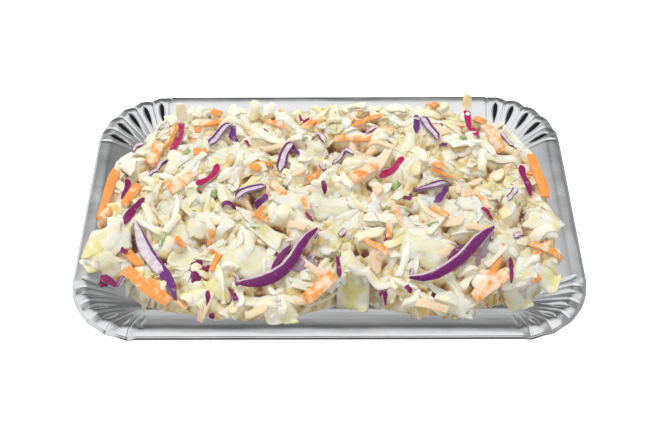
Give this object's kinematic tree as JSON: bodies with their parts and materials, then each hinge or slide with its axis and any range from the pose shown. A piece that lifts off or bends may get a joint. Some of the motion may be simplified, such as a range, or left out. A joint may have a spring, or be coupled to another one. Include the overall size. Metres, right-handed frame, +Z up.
{
  "type": "coleslaw on a foil platter",
  "caption": "Heap of creamy coleslaw, shredded cabbage and carrot with red cabbage, on a shallow rectangular foil platter with fluted corners and a rolled rim.",
  "frame": {"origin": "middle of the platter's flat base, on the surface it stands on", "axes": "+X along the platter's length, +Y towards its far long side, +Z up"},
  "size_m": [0.32, 0.218, 0.0475],
  "materials": {
    "foil": "bright rolled foil, lightly creased at the corners",
    "coleslaw": "wet, coated in creamy dressing",
    "white_cabbage": "wet cut leaf, ivory to pale yellow-green",
    "carrot": "wet shred under a thin film of dressing",
    "red_cabbage": "wet cut leaf, purple skin and lilac cut edge",
    "herb": "wet green leaf"
  },
  "bodies": {
    "root": {"platter": "foil", "coleslaw": "coleslaw"}
  },
  "joints": []
}
